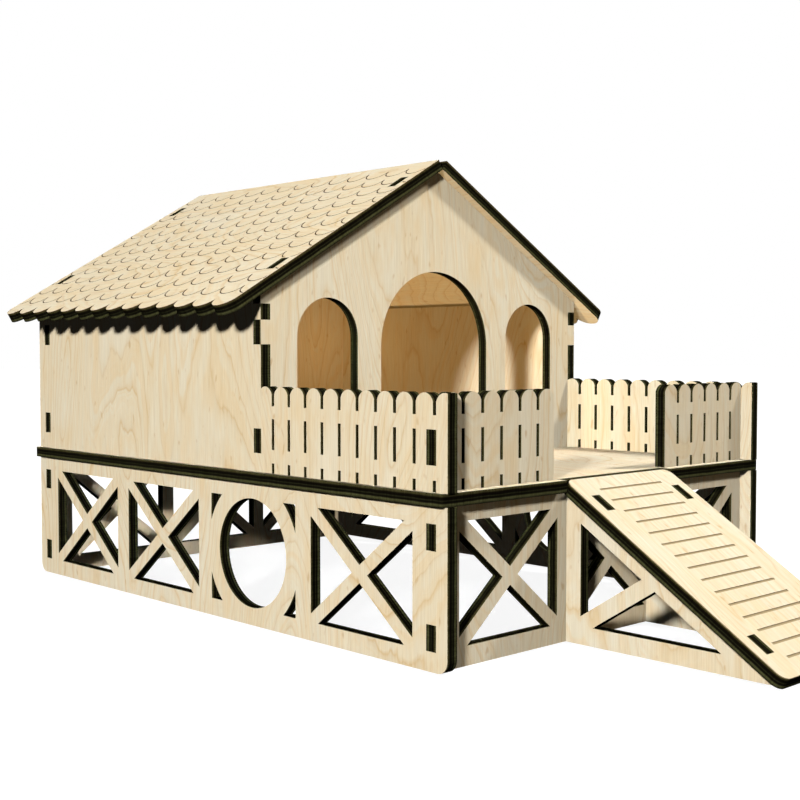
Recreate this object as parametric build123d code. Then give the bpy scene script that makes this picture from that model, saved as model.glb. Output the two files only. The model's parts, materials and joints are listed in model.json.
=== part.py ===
from build123d import *
import os
from math import atan2, cos, degrees, hypot, radians, sin, sqrt, tan

# A rabbit hutch of flat plywood panels that slot together: a braced base, a deck with a picket fence,
# a gabled house on the back two thirds of the deck, two scaled roof panels that lift off, and a ramp.
# While it is drawn, X = 0 is the middle, Y = 0 the front ends of the side panels and Z = 0 the floor.

# Sheet and play
sheet = 10.0
tab_play = 0.1
lift_play = 0.3

# Base
base_length = 600.0
base_width = 412.0
base_height = 121.0
cross_inset = 11.5
foot_radius = 10.0
bottom_rail = 15.0
top_rail = 13.0
side_bays = 4
hole_bay = 1
side_margin = 36.0
side_post = 19.5
front_bays = 3
front_margin = 24.0
front_post = 14.0
brace_width = 11.0
hole_diameter = 93.0
hole_ring = 16.5
base_tab = 19.5

# Deck
deck_side_overhang = 4.0
deck_back_overhang = 3.0
deck_setback = 2.0
deck_radius = 2.0
deck_tab = 24.0
base_tab_place = 165.0
fence_tab_place = 110.0
wall_tab_place = 132.0

# Fence, heights above the deck
fence_height = 72.0
fence_pitch = 20.95
fence_slot = 3.3
fence_notch = 16.2
fence_slot_low = 19.7
fence_slot_high = 45.3
fence_foot_slot = 8.6
picket_rise = 6.5
side_fence_first = 13.3
entry_width = 150.0
fence_tab_low = 19.5
fence_tab = 25.8

# House, heights above the deck
house_front = 218.0
wall_tab = 20.5
wall_tab_low = 16.0
wall_tab_high = 107.0
wall_shoulder = 10.0
door_radius = 70.0
door_spring = 105.4
window_radius = 34.5
window_place = 132.6
window_spring = 113.3
window_sill = 61.5

# Roof
ridge_height = 401.3
roof_pitch = 30.0
gable_overhang = 9.2
scale_width = 27.7
scale_rows = 12
scale_depth = 13.0
first_row = 14.0
row_pitch = 21.15
groove_width = 1.2
groove_depth = 0.6
groove_margin = 1.5
roof_tab = 19.5
roof_tab_places = (45.3, 206.8)

# Ramp
ramp_angle = 32.4
plank_width = 138.0
plank_corner = 8.0
plank_drop = 0.3
plank_reach = 4.5
notch_depth = 11.0
notch_play = 1.0
ramp_side_inset = 10.0
ramp_frame = 14.8
ramp_brace = 13.0
ramp_tab = 19.0
ramp_tab_head = 21.3
ramp_tab_toe = 23.6
tread_lines = 15
tread_first = 15.5
tread_pitch = 14.0
tread_length = 83.0
tread_width = 2.2

# Places that follow from the sizes above
half = base_width / 2
inner_half = half - sheet
deck_top = base_height + sheet
base_back = base_length - cross_inset - sheet
pitch = radians(roof_pitch)
eave_height = ridge_height - half * tan(pitch)
roof_gap = lift_play / cos(pitch)
side_wall_top = eave_height - roof_gap
roof_start = house_front - gable_overhang
roof_end = base_back + sheet + gable_overhang
scales = int((roof_end - roof_start) / scale_width)
slope = radians(ramp_angle)
plank_top = deck_top - plank_drop
plank_length = (plank_top - sheet * cos(slope)) / sin(slope)
base_tab_spans = (
    (bottom_rail, bottom_rail + base_tab),
    (base_height - top_rail - base_tab, base_height - top_rail),
)
wall_tab_spans = tuple(
    (deck_top + low, deck_top + low + wall_tab) for low in (wall_tab_low, wall_tab_high)
)
fence_tab_span = (deck_top + fence_tab_low, deck_top + fence_tab_low + fence_tab)


def span(u0, u1, v0, v1):
    """A rectangle between two corners."""
    return Pos((u0 + u1) / 2, (v0 + v1) / 2) * Rectangle(u1 - u0, v1 - v0)


def slot(u0, u1, v0, v1, play=tab_play):
    """The hole for a tab of this size."""
    return span(u0 - play, u1 + play, v0 - play, v1 + play)


def both(sketch):
    """A sketch and its mirror image across the middle."""
    return Sketch() + [sketch, mirror(sketch, about=Plane.YZ)]


def side_sheet(sketch, x):
    """A panel along the hutch, drawn in (y, z), with its left face at x."""
    return extrude(Plane((x, 0, 0), x_dir=(0, 1, 0), z_dir=(1, 0, 0)) * sketch, amount=sheet)


def cross_sheet(sketch, y):
    """A panel across the hutch, drawn in (x, z), with its front face at y."""
    return extrude(Plane((0, y + sheet, 0), x_dir=(1, 0, 0), z_dir=(0, -1, 0)) * sketch, amount=sheet)


def bays(count, start, end, margin, post):
    """The near and far edges of equal bays between upright posts."""
    width = (end - start - 2 * margin - (count - 1) * post) / count
    return [(start + margin + i * (width + post), start + margin + i * (width + post) + width)
            for i in range(count)]


def crossed_bay(u0, u1):
    """The four triangles between a bay's crossed braces."""
    low, high = bottom_rail, base_height - top_rail
    run = hypot(u1 - u0, high - low) + brace_width
    lean = degrees(atan2(high - low, u1 - u0))
    middle = Pos((u0 + u1) / 2, (low + high) / 2)
    bay = span(u0, u1, low, high)
    for turn in (lean, -lean):
        bay -= middle * Rot(0, 0, turn) * Rectangle(run, brace_width)
    return bay


def round_bay(u0, u1):
    """A round hole inside a ring, with the bay's corners cut away outside the ring."""
    low, high = bottom_rail, base_height - top_rail
    middle = Pos((u0 + u1) / 2, (low + high) / 2)
    corners = span(u0, u1, low, high) - middle * Circle(hole_diameter / 2 + hole_ring)
    return corners + middle * Circle(hole_diameter / 2)


def through_deck(place):
    """A tab that fills the deck's thickness."""
    return span(place - deck_tab / 2, place + deck_tab / 2, base_height, deck_top)


def arch(centre, radius, spring, foot):
    """An opening with a half-round head."""
    return span(centre - radius, centre + radius, foot, spring) + Pos(centre, spring) * Circle(radius)


def base_side():
    outline = span(0, base_length, 0, base_height)
    outline = fillet(outline.vertices().group_by(Axis.Y)[0], foot_radius)
    for i, edges in enumerate(bays(side_bays, 0, base_length, side_margin, side_post)):
        outline -= round_bay(*edges) if i == hole_bay else crossed_bay(*edges)
    for y in (cross_inset, base_back):
        for low, high in base_tab_spans:
            outline -= slot(y, y + sheet, low, high)
    return outline


def base_cross():
    outline = span(-inner_half, inner_half, 0, base_height)
    for edges in bays(front_bays, -half, half, front_margin, front_post):
        outline -= crossed_bay(*edges)
    for low, high in base_tab_spans:
        outline += span(-half, half, low, high) - span(-inner_half, inner_half, low, high)
    return outline + both(through_deck(base_tab_place))


def deck():
    front, back = deck_setback, base_length + deck_back_overhang
    side = half + deck_side_overhang
    outline = span(-side, side, front, back)
    outline = fillet(outline.vertices(), deck_radius)
    notch = plank_width / 2 + notch_play
    outline -= span(-notch, notch, front - sheet, front + notch_depth)
    rows = [(y, place) for y in (cross_inset, base_back) for place in (base_tab_place, fence_tab_place)]
    rows.append((house_front, wall_tab_place))
    for y, place in rows:
        outline -= both(slot(place - deck_tab / 2, place + deck_tab / 2, y, y + sheet))
    return Pos(0, 0, base_height) * extrude(outline, amount=sheet)


def picket_head(centre):
    """The free upper end of one picket, with its rounded top."""
    wide = fence_pitch - fence_slot
    foot, shoulder = fence_height - fence_notch, fence_height - picket_rise
    left, right = centre - wide / 2, centre + wide / 2
    return make_face([
        Line((left, foot), (right, foot)),
        Line((right, foot), (right, shoulder)),
        ThreePointArc((right, shoulder), (centre, fence_height), (left, shoulder)),
        Line((left, shoulder), (left, foot)),
    ])


def fence(u0, u1, slots):
    """A picket fence between two ends, standing on the deck, with its slots at the given places."""
    fence_foot = fence_height - fence_notch
    heads = [picket_head(slots[0] - fence_pitch / 2)]
    heads += [picket_head(place + fence_pitch / 2) for place in slots]
    outline = span(u0, u1, 0, fence_foot)
    for head in heads:
        outline += head & span(u0, u1, fence_foot, fence_height)
    for place in slots:
        left, right = place - fence_slot / 2, place + fence_slot / 2
        outline -= span(left, right, fence_slot_low, fence_slot_high)
        outline -= span(left, right, 0, fence_foot_slot)
    return Pos(0, deck_top) * outline


def house_side():
    """The house's side wall and the porch fence before it, in one sheet."""
    count = int((house_front - fence_slot - side_fence_first) / fence_pitch) + 1
    slots = [side_fence_first + i * fence_pitch for i in range(count)]
    outline = fence(0, house_front, slots) + span(house_front, base_length, deck_top, side_wall_top)
    low, high = wall_tab_spans
    shoulder = (side_wall_top - wall_shoulder, side_wall_top + sheet)
    for y in (house_front, base_back):
        outline -= slot(y, y + sheet, *low)
    outline -= slot(base_back, base_back + sheet, *high)
    for notch in (high, shoulder):
        outline -= slot(house_front - sheet, house_front + sheet, *notch)
    outline -= slot(cross_inset, cross_inset + sheet, *fence_tab_span)
    return outline


def gable():
    """The outline under the roof, with the tabs that stand up through it."""
    outline = make_face(Polyline(
        (-half, deck_top), (half, deck_top), (half, side_wall_top), (0, ridge_height - roof_gap),
        (-half, side_wall_top), close=True))
    for place in roof_tab_places:
        on_slope = Pos(place * cos(pitch), ridge_height - place * sin(pitch)) * Rot(0, 0, -roof_pitch)
        outline += both(on_slope * span(-roof_tab / 2, roof_tab / 2, -sheet, sheet))
    return outline


def house_wall(side_top, deck_tab_place):
    """A gable wall that fits between the house's sides up to side_top, apart from its tabs."""
    low, high = wall_tab_spans
    outline = gable()
    for bottom, top in ((deck_top, low[0]), (low[1], high[0]), (high[1], side_top)):
        outline -= both(span(inner_half, half + sheet, bottom, top))
    return outline + both(through_deck(deck_tab_place))


def house_front_wall():
    outline = house_wall(side_wall_top - wall_shoulder, wall_tab_place)
    outline -= arch(0, door_radius, deck_top + door_spring, deck_top - sheet)
    window = arch(window_place, window_radius, deck_top + window_spring, deck_top + window_sill)
    return outline - both(window)


def house_back_wall():
    return house_wall(ridge_height, fence_tab_place)


def front_fence():
    """The right-hand front fence, from the entry to the side panel."""
    start = entry_width / 2
    first = start + fence_pitch - fence_slot / 2
    count = int((inner_half - fence_slot - first) / fence_pitch) + 1
    outline = fence(start, inner_half, [first + i * fence_pitch for i in range(count)])
    outline += span(inner_half, half, *fence_tab_span)
    return outline + through_deck(fence_tab_place)


def scale_line(row_start, centres, half_scale, offset):
    """Arcs round a row of scales, each drawn from its low-Y end, at an offset from the scales' edges."""
    radius = (half_scale ** 2 + scale_depth ** 2) / (2 * scale_depth)
    centre_line = row_start + scale_depth - radius
    reach = radius + offset
    if offset < 0:
        side, level = sqrt(reach ** 2 - (radius - scale_depth) ** 2), row_start
    else:
        side, level = half_scale, centre_line + sqrt(reach ** 2 - half_scale ** 2)
    return [((level, c - side), (centre_line + reach, c), (level, c + side)) for c in centres]


def scale_groove(row, half_scale):
    """The engraved line of one row of scales, drawn in (down the slope, y)."""
    start = first_row + row * row_pitch
    shift = half_scale * (row % 2)
    centres = [roof_start + half_scale - shift + 2 * half_scale * i for i in range(scales + row % 2)]
    upper = scale_line(start, centres, half_scale, -groove_width / 2)
    lower = scale_line(start, centres, half_scale, groove_width / 2)
    edges = [ThreePointArc(*points) for points in upper + lower]
    edges += [Line(a[2], b[0]) for a, b in zip(upper, upper[1:])]
    edges += [Line(upper[0][0], lower[0][0]), Line(upper[-1][2], lower[-1][2])]
    return make_face(edges)


def roof_right():
    """The right roof panel, drawn in (down the slope, y), with scales engraved and cut along its eave."""
    half_scale = (roof_end - roof_start) / scales / 2
    eave = first_row + scale_rows * row_pitch
    edges = [
        Line((lift_play, roof_start), (eave, roof_start)),
        Line((lift_play, roof_end), (eave, roof_end)),
        Line((lift_play, roof_start), (lift_play, roof_end)),
    ]
    for i in range(scales):
        low = roof_start + 2 * half_scale * i
        edges.append(ThreePointArc((eave, low), (eave + scale_depth, low + half_scale),
                                   (eave, low + 2 * half_scale)))
    outline = make_face(edges)
    tabs = [(place - roof_tab / 2, place + roof_tab / 2, y, y + sheet)
            for place in roof_tab_places for y in (house_front, base_back)]
    grooves = Sketch() + [scale_groove(row, half_scale) for row in range(scale_rows)]
    grooves &= span(0, eave + scale_depth, roof_start + groove_margin, roof_end - groove_margin)
    for tab in tabs:
        outline -= slot(*tab, lift_play)
        grooves -= slot(*tab, lift_play + groove_margin)
    down, out = (cos(pitch), 0, -sin(pitch)), (sin(pitch), 0, cos(pitch))
    under = Plane((0, 0, ridge_height), x_dir=down, z_dir=out)
    panel = extrude(under * outline, amount=sheet)
    return panel - extrude(under.offset(sheet - groove_depth) * grooves, amount=2 * groove_depth)


def ramp_tab_spans():
    """Where the ramp sides' tabs cross the plank, as distances down from its upper end."""
    toe = plank_length - ramp_tab_toe
    return ((ramp_tab_head, ramp_tab_head + ramp_tab), (toe - ramp_tab, toe))


def ramp_plank():
    """The sloping plank, drawn in (x, up the slope) from its upper end."""
    wide = plank_width / 2
    outline = span(-wide, wide, -plank_length, 0)
    outline = fillet(outline.vertices(), plank_corner)
    side = wide - ramp_side_inset - sheet
    for near, far in ramp_tab_spans():
        outline -= both(slot(side, side + sheet, -far, -near))
    upper = Plane((0, plank_reach, plank_top), x_dir=(1, 0, 0), z_dir=(0, -sin(slope), cos(slope)))
    plank = extrude(upper * outline, amount=-sheet)
    lines = [Pos(0, -tread_first - i * tread_pitch) * Rectangle(tread_length, tread_width)
             for i in range(tread_lines)]
    return plank - extrude(upper.offset(-groove_depth) * (Sketch() + lines), amount=2 * groove_depth)


def ramp_side():
    """A ramp side, drawn in (y, z): a braced triangle under the plank."""
    def under(y, below=0.0):
        return plank_top + (y - plank_reach) * tan(slope) - (sheet + below) / cos(slope)

    def place(z, below=0.0):
        return plank_reach + (z - plank_top + (sheet + below) / cos(slope)) / tan(slope)

    back, top = cross_inset - lift_play, base_height
    outline = make_face(Polyline((back, 0), (back, top), (place(top), top), (place(0), 0), close=True))
    post = cross_inset - ramp_frame
    inside = make_face(Polyline((post, ramp_frame), (post, under(post, ramp_frame)),
                                (place(ramp_frame, ramp_frame), ramp_frame), close=True))
    brace = Rot(0, 0, -ramp_angle) * span(-plank_length, ramp_frame, -ramp_brace / 2, ramp_brace / 2)
    outline -= inside - Pos(post, ramp_frame) * brace
    up = Pos(plank_reach, plank_top) * Rot(0, 0, ramp_angle)
    for near, far in ramp_tab_spans():
        outline += up * span(-far, -near, -sheet - ramp_frame / 2, 0)
    return outline


roof = roof_right()
ramp_inner = plank_width / 2 - ramp_side_inset - sheet
fence_right = cross_sheet(front_fence(), cross_inset)
nodes = {
    "base_left_panel": side_sheet(base_side(), -half),
    "base_right_panel": side_sheet(base_side(), inner_half),
    "base_front_panel": cross_sheet(base_cross(), cross_inset),
    "base_back_panel": cross_sheet(base_cross(), base_back),
    "deck": deck(),
    "house_left_side": side_sheet(house_side(), -half),
    "house_right_side": side_sheet(house_side(), inner_half),
    "house_front_wall": cross_sheet(house_front_wall(), house_front),
    "house_back_wall": cross_sheet(house_back_wall(), base_back),
    "front_fence_left": mirror(fence_right, about=Plane.YZ),
    "front_fence_right": fence_right,
    "roof_left": mirror(roof, about=Plane.YZ),
    "roof_right": roof,
    "ramp_plank": ramp_plank(),
    "ramp_left_side": side_sheet(ramp_side(), -ramp_inner - sheet),
    "ramp_right_side": side_sheet(ramp_side(), ramp_inner),
}

# The origin is the middle of the whole hutch's box, on the floor.
boxes = [solid.bounding_box() for solid in nodes.values()]
middle = (min(b.min.Y for b in boxes) + max(b.max.Y for b in boxes)) / 2
os.makedirs("parts", exist_ok=True)
for name, solid in nodes.items():
    export_step(Pos(0, -middle, 0) * solid, f"parts/{name}.step")
print(f"the hutch's middle lies {middle:.3f} mm behind the side panels' front ends")
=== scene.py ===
import json
import math

import bpy
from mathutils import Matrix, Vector


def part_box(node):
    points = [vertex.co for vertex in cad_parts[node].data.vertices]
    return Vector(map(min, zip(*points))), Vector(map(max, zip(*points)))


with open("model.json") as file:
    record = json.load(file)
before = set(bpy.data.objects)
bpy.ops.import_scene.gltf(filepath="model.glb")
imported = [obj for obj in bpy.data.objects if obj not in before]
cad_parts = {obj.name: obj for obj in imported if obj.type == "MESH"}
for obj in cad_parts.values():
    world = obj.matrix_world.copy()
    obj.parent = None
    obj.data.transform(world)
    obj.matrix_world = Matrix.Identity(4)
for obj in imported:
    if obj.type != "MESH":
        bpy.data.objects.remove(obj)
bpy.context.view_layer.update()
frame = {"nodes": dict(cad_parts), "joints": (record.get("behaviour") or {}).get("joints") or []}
nodes = frame["nodes"]
scene = bpy.context.scene

# Sizes from the frame, in metres
deck_low, deck_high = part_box("deck")
DECK_TOP = deck_high[2]
SHEET = DECK_TOP - deck_low[2]

# Directions. A roof panel lifts off square to its slope, so its joint gives its outer side.
lift = {joint["name"]: Vector(joint["axis"]) for joint in frame["joints"]}
RAMP_ANGLE = math.radians(32.4)
LEFT, RIGHT = Vector((-1, 0, 0)), Vector((1, 0, 0))
FRONT, BACK, UP = Vector((0, -1, 0)), Vector((0, 1, 0)), Vector((0, 0, 1))
ROOF_LEFT, ROOF_RIGHT = lift["left_roof_lift"], lift["right_roof_lift"]
PLANK_OUT = Vector((0, -math.sin(RAMP_ANGLE), math.cos(RAMP_ANGLE)))
PLANK_UP = Vector((0, math.cos(RAMP_ANGLE), math.sin(RAMP_ANGLE)))

# Each sheet's outer side, the way its face grain runs, and where in the veneer it was cut
SHEETS = {
    "base_left_panel": (LEFT, UP, 1.3),
    "base_right_panel": (RIGHT, UP, 2.9),
    "base_front_panel": (FRONT, UP, 4.1),
    "base_back_panel": (BACK, UP, 5.7),
    "deck": (UP, BACK, 12.9),
    "house_left_side": (LEFT, UP, 27.5),
    "house_right_side": (RIGHT, UP, 22.6),
    "house_front_wall": (FRONT, UP, 23.7),
    "house_back_wall": (BACK, UP, 10.6),
    "front_fence_left": (FRONT, UP, 28.6),
    "front_fence_right": (FRONT, UP, 12.7),
    "roof_left": (ROOF_LEFT, BACK, 13.9),
    "roof_right": (ROOF_RIGHT, BACK, 14.3),
    "ramp_plank": (PLANK_OUT, PLANK_UP, 8.7),
    "ramp_left_side": (LEFT, UP, 16.8),
    "ramp_right_side": (RIGHT, UP, 17.6),
}
# How far the next cut in the veneer lies across and along the grain, in metres
CUT_ACROSS, CUT_ALONG = 0.73, 1.91

# Growth rings in the veneer's broad waves, and by how many rings they waver and ripple
RINGS, WAVER, RIPPLE = 42.0, 1.3, 0.18
# How strongly rings and flecks cover the face
RING_COVER, FLECK_COVER = 0.68, 0.50
# How far the plies wander on a cut edge, as a share of the sheet
PLY_WANDER = 0.10
# A normal at least this much along the sheet's own belongs to one of its two faces
FACE_LIMIT = 0.8
FACE_ROUGHNESS, EDGE_ROUGHNESS = 0.62, 0.85
# An engraved line lies between these depths below the outer face
ENGRAVED_FROM, ENGRAVED_TO = 0.00002, 0.0007

# How far the floor reaches from the middle, and how far below the feet it lies
FLOOR_REACH, FLOOR_DROP = 12.0, 0.0002
# The small lamps' radius, and the light from all round
BULB_RADIUS, WORLD_LIGHT = 0.008, 0.024


def srgb(red, green, blue):
    """A colour given in screen values from 0 to 255, as Blender's linear one."""
    def linear(value):
        value /= 255
        return value / 12.92 if value <= 0.04045 else ((value + 0.055) / 1.055) ** 2.4
    return (linear(red), linear(green), linear(blue), 1.0)


WHITE, GREY, BLACK = (1.0, 1.0, 1.0, 1.0), (0.2, 0.2, 0.2, 1.0), (0.0, 0.0, 0.0, 1.0)
PALE, WARM, HONEY = srgb(236, 226, 202), srgb(235, 221, 191), srgb(233, 208, 165)
SILVER, RING, FLECK = srgb(226, 216, 194), srgb(215, 182, 129), srgb(200, 162, 108)
FIBRE_SHADE, SCORCH = srgb(240, 235, 225), srgb(190, 186, 176)
ENGRAVED = {
    "roof_left": srgb(84, 62, 38),
    "roof_right": srgb(84, 62, 38),
    "ramp_plank": srgb(166, 146, 110),
}
# The plies on a cut edge, from the outer face at 0 to the inner one at 1
PLIES = (
    (0.00, srgb(84, 80, 50)), (0.14, srgb(70, 66, 41)),
    (0.25, srgb(20, 17, 9)), (0.42, srgb(15, 13, 8)),
    (0.50, srgb(44, 44, 28)),
    (0.58, srgb(17, 15, 9)), (0.68, srgb(22, 20, 12)),
    (0.78, srgb(84, 85, 54)), (0.89, srgb(66, 66, 42)),
    (1.00, srgb(14, 12, 7)),
)
# Colours of the light
CLEAR, AMBER, TAN, CREAM = (1.0, 1.0, 1.0), (1.0, 0.61, 0.245), (1.0, 0.78, 0.48), (1.0, 0.95, 0.55)


def add(tree, kind, inputs=None, **settings):
    """A new node with its settings, and its inputs either set or linked."""
    made = tree.nodes.new(kind)
    for key, value in settings.items():
        setattr(made, key, value)
    for key, value in (inputs or {}).items():
        if isinstance(value, bpy.types.NodeSocket):
            tree.links.new(value, made.inputs[key])
        else:
            made.inputs[key].default_value = value
    return made


def calc(tree, operation, first, second=0.0, clamp=False):
    made = add(tree, "ShaderNodeMath", {0: first, 1: second}, operation=operation, use_clamp=clamp)
    return made.outputs[0]


def dot(tree, vector, axis):
    made = add(tree, "ShaderNodeVectorMath", {0: vector, 1: axis}, operation="DOT_PRODUCT")
    return made.outputs["Value"]


def noise(tree, vector, factors, detail=2.0, rough=0.5, bend=0.0):
    """Noise whose scale across, along and through the sheet is given per metre."""
    scaled = add(tree, "ShaderNodeVectorMath", {0: vector, 1: factors}, operation="MULTIPLY")
    made = add(tree, "ShaderNodeTexNoise", {
        "Vector": scaled.outputs[0], "Scale": 1.0,
        "Detail": detail, "Roughness": rough, "Distortion": bend})
    return made.outputs["Fac"]


def ramp(tree, value, stops):
    """A value turned into colours, or levels, that change evenly between the stops."""
    made = add(tree, "ShaderNodeValToRGB", {"Fac": value})
    elements = made.color_ramp.elements
    while len(elements) < len(stops):
        elements.new(1.0)
    for element, (place, colour) in zip(elements, stops):
        element.position = place
        element.color = colour if isinstance(colour, tuple) else (colour, colour, colour, 1.0)
    return made.outputs["Color"]


def mixed(tree, factor, first, second, blend="MIX"):
    made = add(tree, "ShaderNodeMix", {0: factor, 6: first, 7: second}, data_type="RGBA", blend_type=blend)
    return made.outputs[2]


def tinted(tree, colour, tint):
    return mixed(tree, 1.0, colour, tint, blend="MULTIPLY")


def seen(tree):
    """1 to the camera, also through glass or in a reflection, and 0 to all other light."""
    path = add(tree, "ShaderNodeLightPath").outputs
    indirectly = calc(tree, "ADD", path["Is Glossy Ray"], path["Is Transmission Ray"])
    return calc(tree, "ADD", path["Is Camera Ray"], indirectly, clamp=True)


def veneer(group, place):
    """Pale birch face veneer: wavering growth rings, fine fibres, soft patches and small flecks."""
    broad = noise(group, place, (6.0, 1.7, 0.0), detail=1.0, rough=0.4, bend=0.5)
    waver = noise(group, place, (38.0, 13.0, 0.0))
    ripple = noise(group, place, (210.0, 60.0, 0.0), detail=1.0)
    phase = calc(group, "MULTIPLY", broad, RINGS)
    phase = calc(group, "ADD", phase, calc(group, "MULTIPLY", waver, WAVER))
    phase = calc(group, "ADD", phase, calc(group, "MULTIPLY", ripple, RIPPLE))
    line = ramp(group, calc(group, "FRACT", phase), (
        (0.0, 1.0), (0.07, 0.40), (0.20, 0.08), (0.40, 0.0), (0.93, 0.0), (1.0, 0.8)))
    fading = ramp(group, noise(group, place, (12.0, 6.0, 0.0)), ((0.34, 0.25), (0.58, 1.0)))
    line = calc(group, "MULTIPLY", line, fading)
    bands = add(group, "ShaderNodeTexNoise", {"W": phase, "Scale": 1.7, "Detail": 3.0, "Roughness": 0.7},
                noise_dimensions="1D").outputs["Fac"]

    fibre = noise(group, place, (1300.0, 28.0, 0.0), detail=3.0, rough=0.6)
    streak = noise(group, place, (260.0, 7.0, 0.0), detail=3.0)
    patch = noise(group, place, (10.0, 5.0, 0.0))
    blush = noise(group, place, (55.0, 16.0, 0.0), detail=3.0, rough=0.6)
    fleck = ramp(group, noise(group, place, (170.0, 70.0, 0.0), detail=1.0), ((0.68, 0.0), (0.78, 1.0)))

    face = mixed(group, ramp(group, patch, ((0.38, 0.0), (0.62, 1.0))), PALE, WARM)
    face = mixed(group, ramp(group, streak, ((0.40, 0.0), (0.75, 0.55))), face, SILVER)
    face = mixed(group, ramp(group, bands, ((0.30, 0.55), (0.55, 0.0))), face, HONEY)
    face = mixed(group, ramp(group, blush, ((0.50, 0.0), (0.72, 0.60))), face, HONEY)
    face = mixed(group, calc(group, "MULTIPLY", line, RING_COVER), face, RING)
    face = mixed(group, calc(group, "MULTIPLY", fleck, FLECK_COVER), face, FLECK)
    face = tinted(group, face, ramp(group, fibre, ((0.30, FIBRE_SHADE), (0.70, WHITE))))
    return face, fibre


def burnt_edge(group, place, depth):
    """A laser cut: dark olive plies with black ones between, faintly streaked through the sheet."""
    wander = calc(group, "SUBTRACT", noise(group, place, (70.0, 70.0, 70.0)), 0.5)
    level = calc(group, "ADD", calc(group, "DIVIDE", depth, SHEET),
                 calc(group, "MULTIPLY", wander, PLY_WANDER))
    striation = noise(group, place, (900.0, 900.0, 40.0))
    streaks = ramp(group, striation, ((0.30, SCORCH), (0.72, WHITE)))
    return tinted(group, ramp(group, level, PLIES), streaks), striation


def plywood_group():
    """Birch plywood in sheet coordinates: X across the grain, Y along it, Z below the outer face."""
    group = bpy.data.node_groups.new("birch_plywood", "ShaderNodeTree")
    for name, kind in (("Sheet", "NodeSocketVector"), ("Cut", "NodeSocketFloat")):
        group.interface.new_socket(name, in_out="INPUT", socket_type=kind)
    for name, kind in (("Face", "NodeSocketColor"), ("Edge", "NodeSocketColor"),
                       ("Face Height", "NodeSocketFloat"), ("Edge Height", "NodeSocketFloat")):
        group.interface.new_socket(name, in_out="OUTPUT", socket_type=kind)
    sheet, cut = add(group, "NodeGroupInput").outputs[:2]
    shift = add(group, "ShaderNodeCombineXYZ", {
        "X": calc(group, "MULTIPLY", cut, CUT_ACROSS), "Y": calc(group, "MULTIPLY", cut, CUT_ALONG)})
    place = add(group, "ShaderNodeVectorMath", {0: sheet, 1: shift.outputs[0]}, operation="ADD").outputs[0]
    depth = add(group, "ShaderNodeSeparateXYZ", {0: sheet}).outputs["Z"]
    face, fibre = veneer(group, place)
    edge, striation = burnt_edge(group, place, depth)
    add(group, "NodeGroupOutput", {
        "Face": face, "Edge": edge, "Face Height": fibre, "Edge Height": striation})
    return group


def plywood(name, outward, grain, cut, group):
    """One sheet's material: veneer on its two faces, burnt cuts round it, brown where it is engraved."""
    material = bpy.data.materials.new(f"plywood_{name}")
    material.use_nodes = True
    tree = material.node_tree
    shader = tree.nodes["Principled BSDF"]
    outer = max(outward.dot(corner.co) for corner in nodes[name].data.vertices)

    spot = add(tree, "ShaderNodeTexCoord").outputs["Object"]
    depth = calc(tree, "SUBTRACT", outer, dot(tree, spot, outward))
    sheet = add(tree, "ShaderNodeCombineXYZ", {
        "X": dot(tree, spot, outward.cross(grain)), "Y": dot(tree, spot, grain), "Z": depth})
    wood = add(tree, "ShaderNodeGroup", {"Sheet": sheet.outputs[0], "Cut": cut}, node_tree=group).outputs

    normal = add(tree, "ShaderNodeVectorTransform", {
        "Vector": add(tree, "ShaderNodeNewGeometry").outputs["True Normal"]},
        vector_type="NORMAL", convert_from="WORLD", convert_to="OBJECT").outputs[0]
    facing = calc(tree, "ABSOLUTE", dot(tree, normal, outward))
    is_face = calc(tree, "GREATER_THAN", facing, FACE_LIMIT)
    colour = mixed(tree, is_face, wood["Edge"], wood["Face"])
    if name in ENGRAVED:
        below_face = calc(tree, "GREATER_THAN", depth, ENGRAVED_FROM)
        within_line = calc(tree, "LESS_THAN", depth, ENGRAVED_TO)
        colour = mixed(tree, calc(tree, "MULTIPLY", below_face, within_line), colour, ENGRAVED[name])
    tree.links.new(colour, shader.inputs["Base Color"])

    roughness = add(tree, "ShaderNodeMapRange", {
        "Value": is_face, "To Min": EDGE_ROUGHNESS, "To Max": FACE_ROUGHNESS})
    tree.links.new(roughness.outputs[0], shader.inputs["Roughness"])
    shader.inputs["Specular IOR Level"].default_value = 0.0
    height = add(tree, "ShaderNodeMix", {0: is_face, 2: wood["Edge Height"], 3: wood["Face Height"]})
    bump = add(tree, "ShaderNodeBump", {
        "Height": height.outputs[0], "Strength": 0.25, "Distance": 0.0002})
    tree.links.new(bump.outputs[0], shader.inputs["Normal"])
    return material


def floor_material():
    """White to the camera apart from the hutch's shadow, and black to all other light.

    The floor glows less near the hutch, where the lamps make up for it and the shadow shows.
    """
    material = bpy.data.materials.new("floor_white")
    material.use_nodes = True
    tree = material.node_tree
    tree.nodes.clear()
    in_view = seen(tree)
    spot = add(tree, "ShaderNodeTexCoord").outputs["Object"]
    away = add(tree, "ShaderNodeVectorMath", {0: spot}, operation="LENGTH").outputs["Value"]
    glow = add(tree, "ShaderNodeMapRange", {
        "Value": away, "From Min": 0.45, "From Max": 1.0, "To Min": 0.90, "To Max": 1.0}).outputs[0]
    light = add(tree, "ShaderNodeEmission", {"Strength": calc(tree, "MULTIPLY", glow, in_view)})
    ground = add(tree, "ShaderNodeBsdfDiffuse", {"Color": mixed(tree, in_view, BLACK, GREY)})
    both = add(tree, "ShaderNodeAddShader", {0: light.outputs[0], 1: ground.outputs[0]})
    add(tree, "ShaderNodeOutputMaterial", {"Surface": both.outputs[0]})
    return material


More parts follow.
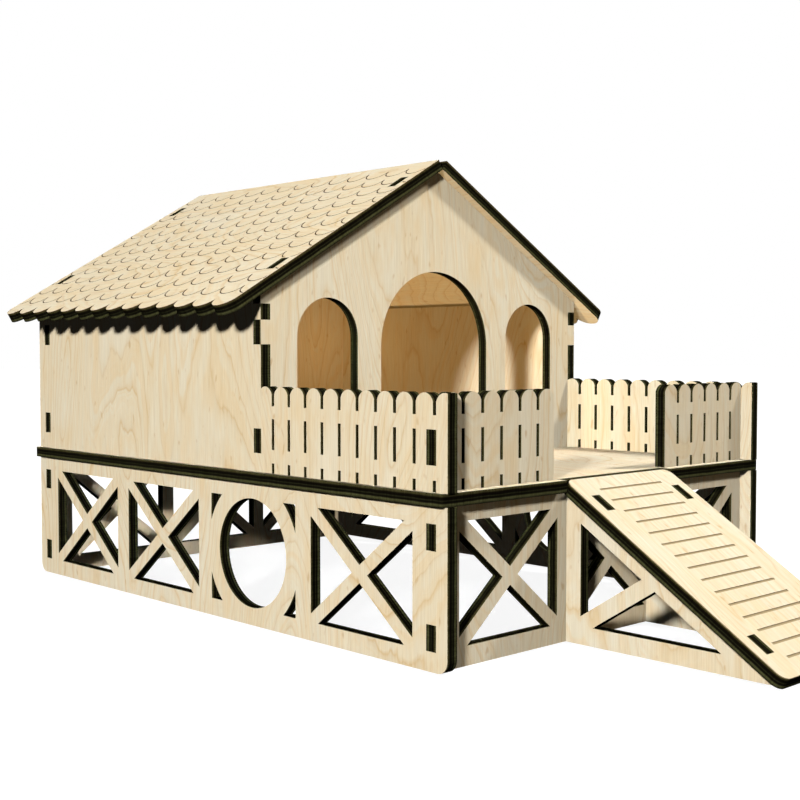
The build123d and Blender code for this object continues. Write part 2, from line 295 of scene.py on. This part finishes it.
def floor_plane():
    corners = [(x * FLOOR_REACH, y * FLOOR_REACH, 0) for x, y in ((-1, -1), (1, -1), (1, 1), (-1, 1))]
    mesh = bpy.data.meshes.new("floor")
    mesh.from_pydata(corners, [], [(0, 1, 2, 3)])
    mesh.materials.append(floor_material())
    plane = bpy.data.objects.new("floor", mesh)
    plane.location.z = -FLOOR_DROP
    plane.visible_shadow = False
    scene.collection.objects.link(plane)
    return plane


def lamp(name, kind, energy, colour, **settings):
    light = bpy.data.lights.new(name, kind)
    light.energy = energy
    light.color = colour
    for key, value in settings.items():
        setattr(light, key, value)
    held = bpy.data.objects.new(name, light)
    scene.collection.objects.link(held)
    return held


def face_hutch(held, towards):
    """Turns a lamp that stands in this direction from the hutch to shine at it."""
    held.rotation_euler = Vector(towards).to_track_quat("Z", "Y").to_euler()


def unfading(held):
    """Makes a lamp as strong far away as near, as a large lamp a long way off is."""
    held.data.use_nodes = True
    tree = held.data.node_tree
    fade = add(tree, "ShaderNodeLightFalloff", {"Strength": 1.0})
    tree.links.new(fade.outputs["Constant"], tree.nodes["Emission"].inputs["Strength"])


def sun(name, towards, level, spread, colour=CLEAR):
    """A distant lamp; at level 1 a surface square to it renders as its own colour."""
    held = lamp(name, "SUN", level * math.pi, colour, angle=math.radians(spread))
    face_hutch(held, towards)
    return held


def softbox(name, place, level, width, height):
    """A wide lamp that faces the hutch; at level 1 it renders colours as a sun does."""
    held = lamp(name, "AREA", level * math.pi ** 2, CLEAR, shape="ELLIPSE", size=width, size_y=height)
    held.location = place
    face_hutch(held, place)
    unfading(held)


def bulb(name, place, level, colour):
    """A small unseen lamp, at a height above the deck's top; its level is as a sun's."""
    held = lamp(name, "POINT", level * 4 * math.pi ** 2, colour, shadow_soft_size=BULB_RADIUS)
    x, y, above_deck = place
    held.location = (x, y, DECK_TOP + above_deck)
    held.visible_camera = False
    unfading(held)
    return held


def only_on(sheets, held):
    """Keeps a lamp's light to these sheets."""
    lit = bpy.data.collections.new(f"{held.name}_lit")
    for name in sheets:
        lit.objects.link(nodes[name])
    held.light_linking.receiver_collection = lit


# Materials and floor
birch = plywood_group()
for name, (outward, grain, cut) in SHEETS.items():
    nodes[name].material_slots[0].material = plywood(name, outward, grain, cut, birch)

floor_plane()

# Studio lamps, and two small ones in the house
softbox("key", place=(-2.3, -1.29, 0.97), level=1.27, width=0.36, height=0.22)
softbox("right_front", place=(0.72, -0.50, 1.25), level=0.83, width=0.16, height=0.16)
sun("top", towards=(0.0, 0.0, 1.0), level=0.14, spread=30.0)
sun("back", towards=(0.6, 0.75, 0.3), level=0.75, spread=20.0)
bulb("house_front", place=(-0.12, 0.04, 0.170), level=0.285, colour=AMBER)
bulb("house_back", place=(0.15, 0.32, 0.110), level=0.29, colour=AMBER)

# Sheets light no other sheet. Dim lamps, each kept to a few sheets, stand for the light thrown on to
# the front, up under the roof, and from the deck on to the right-hand fence.
for sheet in nodes.values():
    sheet.visible_diffuse = False
ROOFS = ("roof_left", "roof_right")
FRONTS = ("house_front_wall", "base_front_panel", "front_fence_left", "front_fence_right")
only_on(FRONTS, sun("front_fill", towards=(0.0, -1.0, -0.15), level=0.04, spread=20.0, colour=TAN))
only_on(ROOFS, sun("from_floor", towards=(0.3, 0.3, -0.9), level=0.50, spread=20.0, colour=TAN))
only_on(ROOFS, bulb("house_roof", place=(-0.14, 0.20, 0.162), level=0.15, colour=AMBER))
only_on(ROOFS, bulb("porch_roof", place=(-0.03, -0.05, 0.010), level=0.45, colour=TAN))
only_on(["house_right_side"], bulb("porch_fence", place=(-0.17, -0.005, 0.030), level=0.15, colour=CREAM))

# White surroundings
world = bpy.data.worlds.new("studio")
world.use_nodes = True
scene.world = world
sky = world.node_tree
strength = add(sky, "ShaderNodeMapRange", {"Value": seen(sky), "To Min": WORLD_LIGHT, "To Max": 1.0})
sky.links.new(strength.outputs[0], sky.nodes["Background"].inputs["Strength"])
sky.nodes["Background"].inputs["Color"].default_value = WHITE

# The photograph's view
view = bpy.data.cameras.new("photo_view")
view.lens = 57.27
view.sensor_width = 36.0
view.clip_start = 0.01
camera = bpy.data.objects.new("photo_view", view)
camera.location = (-0.8505, -0.8395, 0.2354)
camera.rotation_euler = (math.radians(87.634), 0.0, math.radians(-43.408))
scene.collection.objects.link(camera)
scene.camera = camera
scene.view_settings.view_transform = "Standard"
